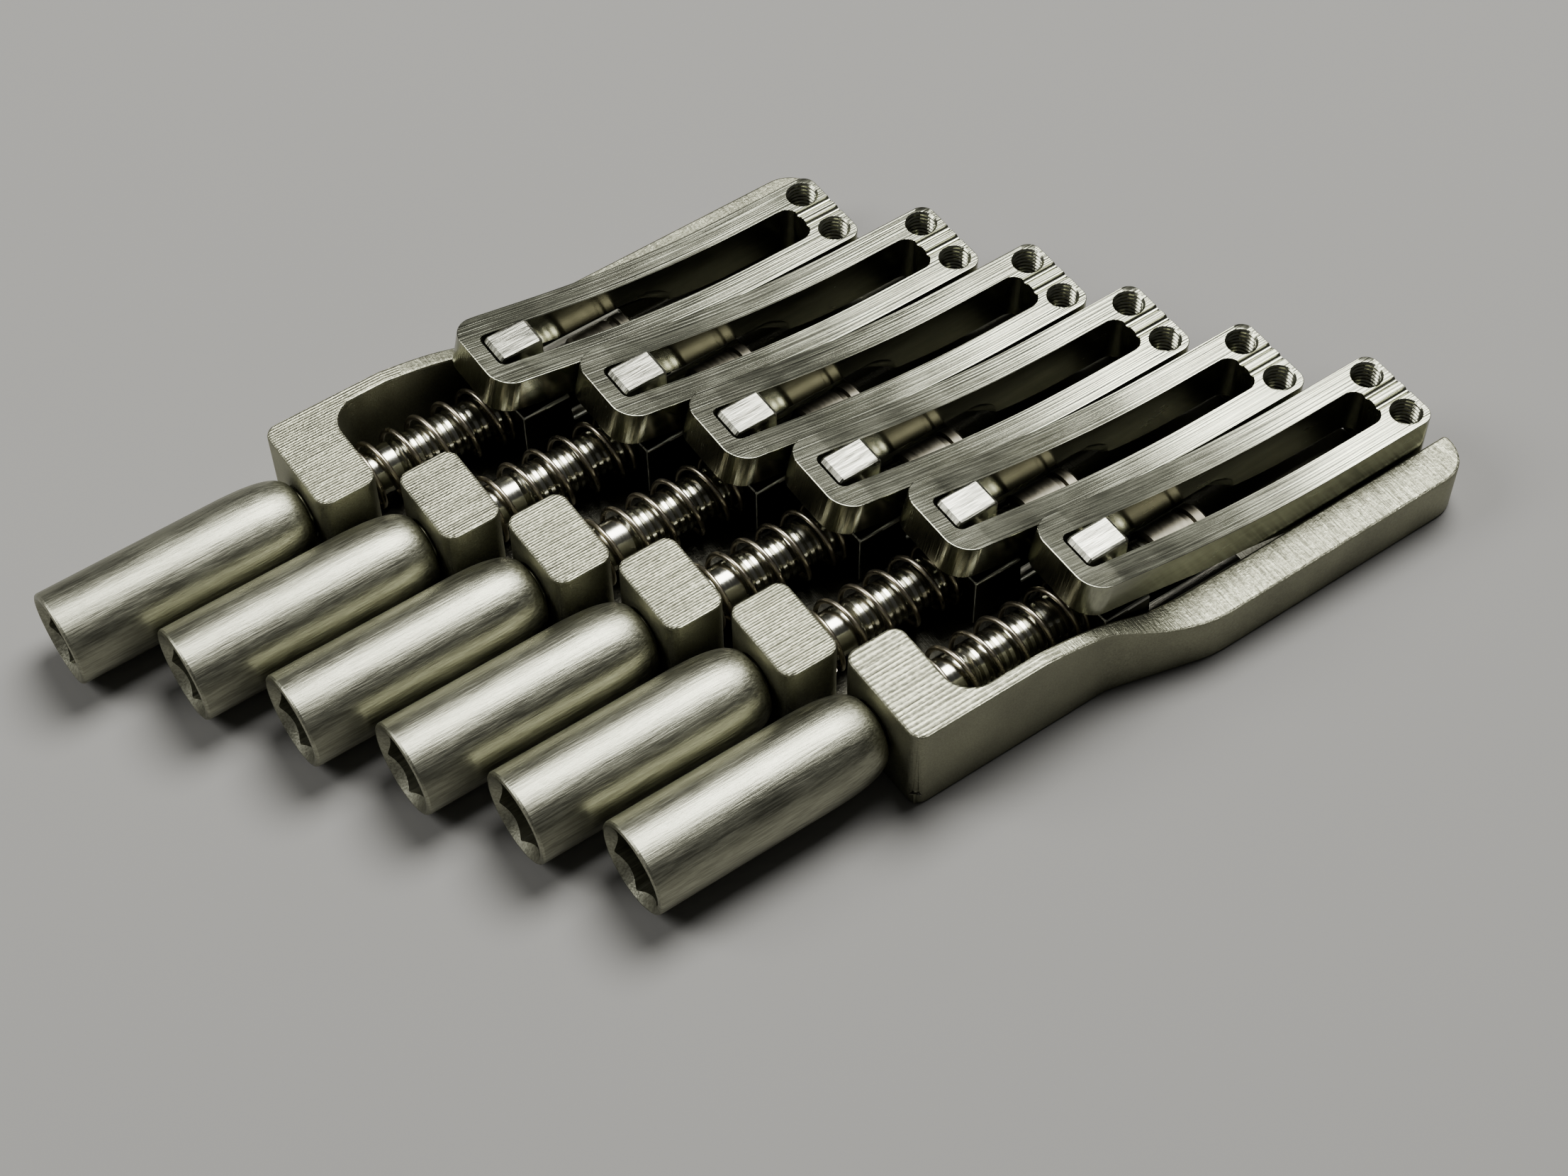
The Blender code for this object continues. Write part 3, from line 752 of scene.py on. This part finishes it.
def makeSprings(size):
    # Coils between post and carriage, each started a little further round than the last.
    wire, ends = springSizes["Wire"], 2.0 * springSizes["End pitch"]
    for i in units:
        start = postX[i] + baseSizes["postLong"] + wire + size["rearGap"]
        stop = lugX[i] - size["lug"] - wire - size["frontGap"]
        sizes = dict(springSizes)
        sizes.update({"Length": stop - start, "Turns": (stop - start - ends) / size["pitch"] + 2.0,
                      "Phase": size["turn"] * i})
        mesh = grown("coil", springTree, sizes, finishes["spring"])
        shade(placed(mesh, start, stringY[i], axisZ), 40.0)
        piece = makeObject("tensionSpring.%d" % (i + 1), mesh, finishes["spring"])
        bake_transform(piece)
        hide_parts("spring_%d" % (i + 1))


makeSprings(springFit)
print("springs done")

carriageSizes = {"rear": -2.5, "front": 3.0, "halfY": 5.0, "low": 2.25, "top": 8.85,
                 "edge": 0.3, "lugRear": -2.45, "lugFront": 2.4, "lugHalfY": 1.77,
                 "lugLow": 7.0, "lugTop": 14.75, "lugEdge": 0.38, "bore": 2.85,
                 "cheekRear": 2.0, "cheekFront": 15.0, "cheekIn": 3.55, "cheekOut": 4.98,
                 "cheekTop": 5.0, "pinU": 0.5, "pinZ": 12.0, "pinBore": 0.8, "pinR": 0.72,
                 "pinHalf": 4.7, "pinEdge": 0.17}


def makeCarriages(size):
    # Block with a lug on top and two cheeks forward, bored for the screw and the pin.
    body = block("carriage", (size["rear"], -size["halfY"], size["low"]),
                 (size["front"], size["halfY"], size["top"]))
    carriage = makeObject("carriage", body)
    rear, front, top, e = size["lugRear"], size["lugFront"], size["lugTop"], size["lugEdge"]
    face = [(rear, size["lugLow"]), (front, size["lugLow"]), (front, top - e), (front - e, top),
            (rear + e, top), (rear, top - e)]
    parts = [prism("lug", face, -size["lugHalfY"], size["lugHalfY"], "XZ")]
    for side in (-1, 1):
        low, high = sorted((side * size["cheekIn"], side * size["cheekOut"]))
        parts.append(block("cheek", (size["cheekRear"], low, size["low"] + 0.05),
                           (size["cheekFront"], high, size["cheekTop"])))
    combine(carriage, parts, "UNION")
    softenEdges(carriage, size["edge"], 50.0)
    bore = lathe("bore", [(size["bore"] + 0.9, size["rear"] - 0.6),
                          (size["bore"], size["rear"] + 0.3), (size["bore"], 4.0)])
    cross = rod("cross", size["pinBore"], -4.0, 4.0, 40, "Y")
    combine(carriage, [placed(bore, 0.0, 0.0, axisZ),
                       placed(cross, size["pinU"], 0.0, size["pinZ"])])
    shade(carriage.data, 20.0)
    weighNormals(carriage)
    r, half, edge = size["pinR"], size["pinHalf"], size["pinEdge"]
    pin = lathe("pin", [(r - edge, -half), (r, edge - half), (r, half - edge), (r - edge, half)],
                40, "Y")
    shade(placed(pin, size["pinU"], 0.0, size["pinZ"]), 20.0)
    for i in units:
        body = "carriage_body_%d" % (i + 1)
        mesh = placed(carriage.data.copy(), lugX[i], stringY[i])
        finishPiece("carriage.%d" % (i + 1), mesh, carriageFinish, body,
                    ["carriage_%d" % (i + 1)])
        mesh = placed(pin.copy(), lugX[i], stringY[i])
        finishPiece("pivotPin.%d" % (i + 1), mesh, finishes["pin"], body,
                    ["pivot_pin_%d" % (i + 1)])
    bpy.data.objects.remove(carriage)


makeCarriages(carriageSizes)
print("carriages and pins done")

saddleSizes = {"halfY": 5.05, "rear": -4.5, "lean": 14.0, "rearCorner": 2.6, "front": 39.0,
               "frontCorner": 1.5, "slotHalfY": 2.3, "slotRear": -2.78, "slotFront": 34.95,
               "room": 3.65, "roomFront": 17.3, "holeU": 36.85, "holeY": 2.9, "holeR": 1.54,
               "holeDepth": 0.15, "holePitch": 0.5, "pivotU": 0.5, "pivotZ": 12.0, "edge": 0.26,
               "top": 10.2, "tip": 4.5, "tailHigh": 15.05, "grooveR": 0.42, "grooveY": 0.82,
               "grooveZ": 10.3, "dimpleZ": 8.9}
saddleTop = [(-1.0, 14.2), (3.0, 13.3), (7.0, 12.45), (11.0, 11.7),
             (15.0, 11.1), (19.0, 10.65), (23.0, 10.35), (27.0, 10.22), (31.0, 10.2), (34.0, 10.2)]
saddleUnder = [(34.0, 4.55), (26.0, 4.7), (21.0, 5.3), (17.0, 6.3), (14.0, 6.95),
               (10.0, 7.5), (5.0, 8.75), (1.0, 9.75), (-1.0, 10.22)]


def makeSaddle(size):
    # Sloping block with a leaning tail, slotted, with room for the jaw and two threaded holes.
    lean = math.radians(size["lean"])
    front, half = size["front"], size["halfY"]
    side = ([(-7.0, 15.38)] + smoothLine(saddleTop, 60)
            + [(front, size["top"]), (front, size["tip"])]
            + smoothLine(saddleUnder, 40) + [(-7.0, 11.6)])
    saddle = makeObject("saddle", prism("saddle", side, -half - 1.0, half + 1.0, "XZ"))
    plan = roundedOutline([(-12.0, -half), (front, -half), (front, half), (-12.0, half)],
                          [0.0, size["frontCorner"], size["frontCorner"], 0.0])
    high = size["tailHigh"] - size["pivotZ"]
    rear = (size["rear"] - size["pivotU"]) * math.cos(lean) - high * math.sin(lean)
    outline = roundedOutline([(rear, -half), (70.0, -half), (70.0, half), (rear, half)],
                             [size["rearCorner"], 0.0, 0.0, size["rearCorner"]])
    tail = prism("tail", outline, -25.0, 15.0)
    tail.transform(Matrix.Rotation(lean, 4, "Y"))
    placed(tail, size["pivotU"], 0.0, size["pivotZ"])
    combine(saddle, [prism("plan", plan, -2.0, 20.0), tail], "INTERSECT")
    slotFront, slotHalf = size["slotFront"], size["slotHalfY"]
    slot = roundedOutline([(size["slotRear"], -slotHalf), (slotFront, -slotHalf),
                           (slotFront, slotHalf), (size["slotRear"], slotHalf)],
                          [0.8, 1.5, 1.5, 0.8], 12.0)
    r, endX = size["room"], size["roomFront"]
    room = placed(lathe("room", [(r, -9.0), (r, endX - 0.4), (r - 0.2, endX + 0.3),
                                 (r - 0.55, endX + 1.2), (r - 1.1, endX + 2.2),
                                 (r - 1.9, endX + 2.9), (0.3, endX + 3.2)], 72), 0.0, 0.0, axisZ)
    softenEdges(saddle, size["edge"], 40.0, 3, True)
    combine(saddle, [prism("slot", slot, 1.0, 20.0), room])
    cutters = []
    sizes = dict(threadSizes)
    sizes.update({"Length": 9.0, "Radius": size["holeR"], "Depth": size["holeDepth"],
                  "Pitch": size["holePitch"], "Chamfer": 0.0, "Sides": 40})
    for y in (-size["holeY"], size["holeY"]):
        thread = grown("holeThread", threadTree, sizes, None)
        upright = Matrix.Rotation(-math.pi / 2, 4, "Y")
        thread.transform(Matrix.Rotation(0.4 + 0.3 * y, 4, "Z") @ upright)
        cutters.append(shade(placed(thread, size["holeU"], y, 2.0)))
        mouth = lathe("mouth", [(size["holeR"] - 0.1, 9.98), (size["holeR"] + 0.14, 10.19),
                                (size["holeR"] + 0.5, 10.55)], 56, "Z")
        cutters.append(placed(mouth, size["holeU"], y))
    for y in (-size["grooveY"], size["grooveY"]):
        groove = rod("groove", size["grooveR"], slotFront - 1.0, front + 1.0, 32)
        cutters.append(placed(groove, 0.0, y, size["grooveZ"]))
    dimple = lathe("dimple", [(0.05, -0.5), (0.32, -0.38), (0.5, 0.0), (0.5, 0.2)], 32)
    cutters.append(placed(dimple, slotFront + 0.35, 0.0, size["dimpleZ"]))
    # One cut at a time; together they leave an open mesh.
    for cutter in cutters:
        combine(saddle, [cutter])
    shade(saddle.data, 22.0)
    return weighNormals(saddle)


def makeSaddles(size):
    saddle = makeSaddle(size)
    for i in units:
        finishPiece("stringSaddle.%d" % (i + 1), placed(saddle.data.copy(), lugX[i], stringY[i]),
                    finishes["saddle"], "saddle_body_%d" % (i + 1), ["saddle_%d" % (i + 1)])
    bpy.data.objects.remove(saddle)


makeSaddles(saddleSizes)
print("saddles done")

jawSizes = {"radius": 3.05, "rear": 7.05, "front": 13.6, "bore": 2.53, "boreDeep": 12.5,
            "hole": 0.9}
jawGroove = [(0.0, 11.4), (0.35, 11.6), (0.35, 12.1), (0.0, 12.3)]  # depth, place


def makeJaws(size):
    # Turned nut with a ring groove and a small hole for the string.
    r, front = size["radius"], size["front"]
    outer = [(r - 0.3, size["rear"]), (r, size["rear"] + 0.3)]
    outer += [(r - deep, at) for deep, at in jawGroove]
    outer += [(r, front - 0.35), (r - 0.35, front)]
    jaw = makeObject("jaw", lathe("jaw", outer, 72))
    thread = rod("bore", size["bore"], size["rear"] - 1.0, size["boreDeep"], 48)
    hole = lathe("hole", [(size["hole"], 11.0), (size["hole"], front - 0.3),
                          (size["hole"] + 0.7, front + 0.4)], 40)
    combine(jaw, [thread, hole])
    shade(jaw.data, 24.0)
    for i in units:
        mesh = placed(jaw.data.copy(), lugX[i], stringY[i], axisZ)
        finishPiece("stringJaw.%d" % (i + 1), mesh, finishes["jaw"], "jaw_%d" % (i + 1),
                    ["string_jaw_%d" % (i + 1)])
    bpy.data.objects.remove(jaw)


makeJaws(jawSizes)

setScrewSizes = {"radius": 1.36, "low": 2.1, "long": 4.6, "depth": 0.25, "pitch": 0.5,
                 "chamfer": 0.3, "hex": 0.86, "hexDeep": 1.8}


def makeSetScrews(size):
    # Threaded studs with a small hex socket on top.
    sizes = dict(threadSizes)
    sizes.update({"Length": size["long"], "Radius": size["radius"], "Depth": size["depth"],
                  "Pitch": size["pitch"], "Chamfer": size["chamfer"], "Sides": 32})
    thread = grown("stud", threadTree, sizes, finishes["setScrew"])
    thread.transform(Matrix.Rotation(-math.pi / 2, 4, "Y"))
    stud = makeObject("stud", thread)
    socket = prism("hex", hexagon(size["hex"]), size["long"] - size["hexDeep"], size["long"] + 1.0)
    combine(stud, [socket])
    shade(stud.data, 34.0)
    for i in units:
        for side, letter in ((1, "a"), (-1, "b")):
            mesh = placed(stud.data.copy(), lugX[i] + saddleSizes["holeU"],
                          stringY[i] + side * saddleSizes["holeY"], size["low"])
            tag = "%d%s" % (i + 1, letter)
            finishPiece("heightScrew." + tag, mesh, finishes["setScrew"], "height_" + tag,
                        ["height_screw_" + tag])
    bpy.data.objects.remove(stud)


makeSetScrews(setScrewSizes)
print("jaws and set screws done")

# Each lamp: name, disk width, energy, distance, and the direction it stands in.
stageLook = {"size": 1.6, "thick": 6.0, "gap": 0.02, "colour": (0.29, 0.285, 0.27),
             "world": (0.075, 0.075, 0.075),
             "lamps": [("overhead", 0.5, 7.9, 0.8, (0.35, 0.18, 0.915)),
                       ("behind", 0.4, 2.6, 0.8, (-0.62, 0.42, 0.66))]}


def makeStage(look):
    half = look["size"] / mm / 2
    slab = block("floor", (-half, -half, -look["thick"]), (half, half, -look["gap"]))
    floor = makeObject("floor", slab)
    made, tree, shader = startMaterial("paleFloor", look)
    shader.inputs["Metallic"].default_value = 0.0
    shader.inputs["IOR"].default_value = 1.4
    coords = tree.nodes.new("ShaderNodeTexCoord").outputs["Object"]
    soft = grain(tree, coords, (9.0, 9.0, 9.0), 3.0, 0.5)
    tree.links.new(colourBetween(tree, remap(tree, soft, 0.0, 1.0), shadeOf(look["colour"], 0.98),
                                 shadeOf(look["colour"], 1.02)), shader.inputs["Base Color"])
    tree.links.new(remap(tree, soft, 0.75, 0.85), shader.inputs["Roughness"])
    floor.data.materials.append(made)
    world = bpy.data.worlds.new("studio")
    world.use_nodes = True
    world.node_tree.nodes["Background"].inputs["Color"].default_value = (*look["world"], 1.0)
    bpy.context.scene.world = world
    bpy.context.scene.view_settings.look = "AgX - Medium High Contrast"
    for name, disk, energy, away, start in look["lamps"]:
        lamp = bpy.data.lights.new(name, "AREA")
        lamp.shape = "DISK"
        lamp.size = disk
        lamp.energy = energy
        light = bpy.data.objects.new(name, lamp)
        bpy.context.scene.collection.objects.link(light)
        aim = Vector(start).normalized()
        light.location = aim * away
        light.rotation_euler = aim.to_track_quat("Z", "Y").to_euler()


cameraSizes = {"at": (-95.095, -143.658, 231.484), "right": (0.8189, -0.5739, -0.00646),
               "up": (0.46761, 0.66062, 0.5873), "lens": 66.65}


def makeCamera(size):
    lens = bpy.data.cameras.new("camera")
    lens.lens = size["lens"]
    lens.sensor_width = 36.0
    lens.sensor_fit = "HORIZONTAL"
    lens.clip_start = 0.01
    camera = bpy.data.objects.new("camera", lens)
    bpy.context.scene.collection.objects.link(camera)
    right = Vector(size["right"]).normalized()
    back = right.cross(Vector(size["up"])).normalized()
    up = back.cross(right)
    turn = Matrix((right, up, back)).transposed().to_4x4()
    camera.matrix_world = Matrix.Translation(Vector(size["at"]) * mm) @ turn
    bpy.context.scene.camera = camera


makeStage(stageLook)
makeCamera(cameraSizes)
print("stage, light and camera ready")
